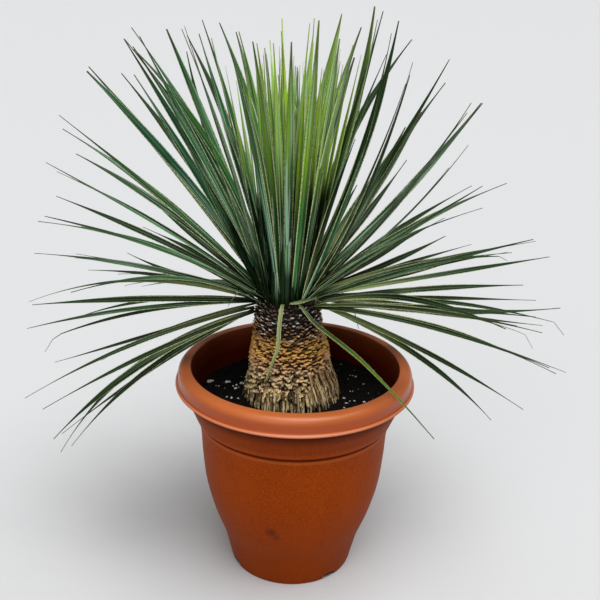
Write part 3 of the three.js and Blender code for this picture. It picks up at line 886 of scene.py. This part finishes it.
def leaf_looks(bearing, elevation, seed, inner=0.0):
    """For each leaf its half widths, twist, tone, dryness, lime share and depth of shade at its foot,
    from where it stands and a seeded draw. Blades on the right and level ones are darker, those at the back
    and the top are lime, partly as young leaves and partly as painted light through them from behind, and
    inner ones that stand above others are shaded further up."""
    draw = np.random.default_rng(seed)
    n = len(bearing)
    turn, rise = np.radians(bearing), np.radians(elevation)
    right = np.cos(turn)
    turned = 14 + 32 * smoothstep(12, 52, elevation) + 14 * (1 - smoothstep(-30, -12, elevation))
    twist = -np.radians(turned) * right + draw.normal(0, 0.13, n)
    level = 1 - smoothstep(5, 40, elevation)
    shift = 0.1 * right + 0.12 * np.maximum(right, 0) + (0.33 + 0.12 * np.maximum(-right, 0)) * level
    tone = np.clip(0.2 + shift + draw.normal(0, 0.12, n), 0, 0.6)
    aside = np.abs(right) * np.cos(rise)
    # Leaves at the back and at the top get the lime: partly the young leaves' own colour and partly painted
    # light shining through them from behind.
    behind = smoothstep(-0.5, 0.3, np.sin(turn)) * smoothstep(20, 45, elevation)
    steep = smoothstep(60, 72, elevation)
    near_back = (1 - smoothstep(0.08, 0.3, aside)) * behind
    near_top = (1 - smoothstep(0.16, 0.3, aside)) * steep
    young = np.maximum(near_back, near_top)
    lime = np.clip(young * draw.uniform(0.5, 1.2, n), 0, 1)
    upright = smoothstep(15, 50, elevation)
    begin = draw.uniform(0.48, 0.6, n) + 0.06 * upright
    shares = leaf_shares(begin, begin + 0.42)
    half = (LEAF_HALF_WIDTH * draw.uniform(0.84, 1.04, n))[:, None] * shares
    from_front = np.abs((bearing + 270) % 360 - 180)
    lowest = 60 - 84 * smoothstep(25, 80, from_front)
    covered = smoothstep(2, 26, elevation - lowest)
    deep = (inner + 0.2 * draw.uniform(0, 1, n)) * covered
    return half, twist, tone, draw.uniform(0, 1, n) ** 2, lime, deep


def leaf_group(name, leaves, seed, material, sink=1.0, inner=0.0):
    """Blades for a list of leaves; those that give a break drop beyond it."""
    table = np.array(leaves, float)
    bearing, elevation, length = table[:, 0], table[:, 1], table[:, 2] * MM
    lines = leaf_lines(bearing, elevation, length, table[:, 3] * MM, sink)
    if table.shape[1] > 4:
        t = np.linspace(0, 1, LEAF_STEPS)[None]
        past = np.maximum(t - table[:, 4:5], 0)
        lines = lines - (past * table[:, 5:6] * length[:, None])[..., None] * UP
    return blades(name, lines, *leaf_looks(bearing, elevation, seed, inner), material)


def make_heart(material):
    """The young leaves in the middle: shorter, narrower, nearly upright and lime in their upper half, partly
    their own colour and partly painted light through them from behind. They are spread over a disc by the
    golden angle."""
    draw = np.random.default_rng(71)
    k = np.arange(HEART_LEAVES)
    bearing = np.degrees(k * GOLDEN) % 360 - 180
    elevation = 90 - HEART_LEAN * np.sqrt((k + 0.5) / HEART_LEAVES)
    length = draw.uniform(*HEART_LENGTHS, HEART_LEAVES) * MM
    lines = leaf_lines(bearing, elevation, length, np.zeros(HEART_LEAVES), 0.7)
    _, twist, tone, dry, _, deep = leaf_looks(bearing, elevation, 72, 1.3)
    start = draw.uniform(0.52, 0.72, HEART_LEAVES)
    shares = leaf_shares(start, np.full(HEART_LEAVES, 1.02), 0.1)
    half = draw.uniform(*HEART_HALF_WIDTHS, HEART_LEAVES)[:, None] * MM * shares
    # The lime: partly the young leaves' own colour and partly painted light through them from behind.
    lime = draw.uniform(0.6, 1.0, HEART_LEAVES)
    return blades("blades_heart", lines, half, twist, tone, dry * 0.2, lime, deep, material)


def make_single(
    name, points, half, start, looks, material, face=UP, neck=LEAF_NECK, pattern=(0.0, 1.0), point=0.2,
):
    """One blade through points in mm. Looks holds its twist in degrees, tone, dryness, lime share and
    depth of shade, and pattern the part of a whole leaf's colouring that it shows."""
    shares = leaf_shares(np.array([start]), np.array([1.0]), point, neck)
    twist, tone, dry, lime, deep = (np.array([v], float) for v in looks)
    half = half * MM * shares
    twist = np.radians(twist)
    return blades(name, curve_line(points), half, twist, tone, dry, lime, deep, material, face, pattern)


def make_leaves(material):
    """The leaves that stand for CAD nodes, in the nodes' order, then the rest of the head in groups."""
    straight = UPRIGHT_LEAVES + SPREADING_LEAVES + LOW_LEAVES
    for i, leaf in enumerate(straight):
        node = f"leaf_{i + 1:02d}"
        finished(leaf_group("blade_" + node[5:], [leaf], 100 + i, material), "leaf_blade", node)
    looks = (-38, 0.72, 0.9, 0.5, 0.0)
    rim = make_single("blade_over_rim", RIM_LEAF, 2.8, 0.45, looks, material, pattern=(0.15, 1.0))
    finished(rim, "leaf_blade", "leaf_over_rim")
    front = np.array([0, -1, 1.0])
    looks = (0, 0.95, 1.0, 0.4, 0.0)
    form = {"face": front, "neck": 0.8, "pattern": (0.2, 0.46), "point": 0.5}
    hanging = make_single("blade_hanging", HANGING_LEAF, 2.5, 0.55, looks, material, **form)
    finished(hanging, "leaf_blade", "leaf_hanging")
    looks = (20, 0.9, 0.3, 0.0, 0.0)
    folded = make_single("blade_folded", FOLDED_LEAF, 3.0, 0.8, looks, material, front, pattern=(0.2, 0.7))
    finished(folded, "leaf_blade")
    looks = (0, 1.0, 1.0, 0.0, 0.0)
    finished(make_single("fibre_loose", FIBRE, 0.5, 0.8, looks, material, front), "leaf_blade")
    finished(leaf_group("blades_between", BETWEEN_LEAVES, 41, material, 0.85, 0.1), "leaf_blade")
    finished(leaf_group("blades_bent", BENT_LEAVES, 43, material), "leaf_blade")
    finished(make_heart(material), "leaf_blade")
    for i, part in enumerate(np.array_split(np.array(INNER_LEAVES), 4)):
        finished(leaf_group(f"blades_inner_{i + 1}", part, 51 + i, material, 0.72, 0.9), "leaf_blade")


# ---------------------------------------------------------------- putting it together
def finished(piece, slot, *nodes):
    """The piece rides on the one body and stands for these CAD nodes. Its slot is not used."""
    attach(piece, "root")
    if nodes:
        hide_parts(*nodes)
    return piece


def make_plant():
    """The whole object from the pot up, with soil and trunk sharing their finishes among their pieces."""
    finished(make_pot(pot_finish()), "pot_plastic", "pot")
    soil, perlite = soil_finish(), perlite_finish()
    finished(make_soil(soil), "potting_soil", "soil")
    finished(scatter("soil_crumbs", 900, 61, 0.9, 3.0, soil), "potting_soil")
    finished(scatter("perlite_dust", 70, 62, 0.4, 0.9, perlite), "potting_soil")
    finished(scatter("perlite_grains", len(PERLITE), 63, 0.9, 1.1, perlite, 0.8, PERLITE), "potting_soil")
    scales = scale_finish()
    core, *bands = make_trunk(core_finish(), scales)
    finished(core, "trunk_scales", "trunk")
    for band in bands:
        finished(band, "trunk_scales")
    make_leaves(leaf_finish())


# ---------------------------------------------------------------- stage, light and camera
CAMERA_PLACE = (0.0037, -1.0768, 0.7882)
CAMERA_PITCH = math.radians(21.44)
CAMERA_ROLL = math.radians(1.54)
CAMERA_LENS = 56.28


def make_camera():
    """Looks along +Y, down by the pitch, and rolled about its own line of sight."""
    ahead = np.array([0, math.cos(CAMERA_PITCH), -math.sin(CAMERA_PITCH)])
    level = np.array([1.0, 0, 0])
    upright = np.cross(level, ahead)
    right = math.cos(CAMERA_ROLL) * level + math.sin(CAMERA_ROLL) * upright
    top = -math.sin(CAMERA_ROLL) * level + math.cos(CAMERA_ROLL) * upright
    data = bpy.data.cameras.new("camera")
    data.lens = CAMERA_LENS
    camera = bpy.data.objects.new("camera", data)
    matrix = Matrix.Identity(4)
    for row in range(3):
        matrix[row] = (right[row], top[row], -ahead[row], CAMERA_PLACE[row])
    camera.matrix_world = matrix
    bpy.context.scene.collection.objects.link(camera)
    bpy.context.scene.camera = camera


def make_stage(material):
    """A level sheet under the pot that reaches beyond the picture's top edge."""
    points = np.array([[-20, -6, 0], [20, -6, 0], [20, 40, 0], [-20, 40, 0]], float)
    new_object("studio_floor", points, [np.array([[0, 1, 2, 3]])], material, smooth=False)


SKY_STRENGTH = 0.24
SUNS = [  # name, strength, width and turn, both in degrees
    ("overhead", 2.8, 50, (12, 10, 0)), ("front_fill", 0.9, 60, (56, 0, -14)),
]


def make_light():
    """An even white sky, a broad light from overhead and a weak one from the front."""
    world = bpy.data.worlds.new("studio")
    world.use_nodes = True
    sky = world.node_tree.nodes["Background"]
    sky.inputs["Color"].default_value = (1, 1, 1, 1)
    sky.inputs["Strength"].default_value = SKY_STRENGTH
    bpy.context.scene.world = world
    for name, energy, size, turn in SUNS:
        sun = bpy.data.lights.new(name, "SUN")
        sun.energy, sun.angle = energy, math.radians(size)
        lamp = bpy.data.objects.new(name, sun)
        lamp.rotation_euler = [math.radians(v) for v in turn]
        bpy.context.scene.collection.objects.link(lamp)
    bpy.context.scene.view_settings.view_transform = "Standard"


make_camera()
make_plant()
make_stage(stage_finish())
make_light()
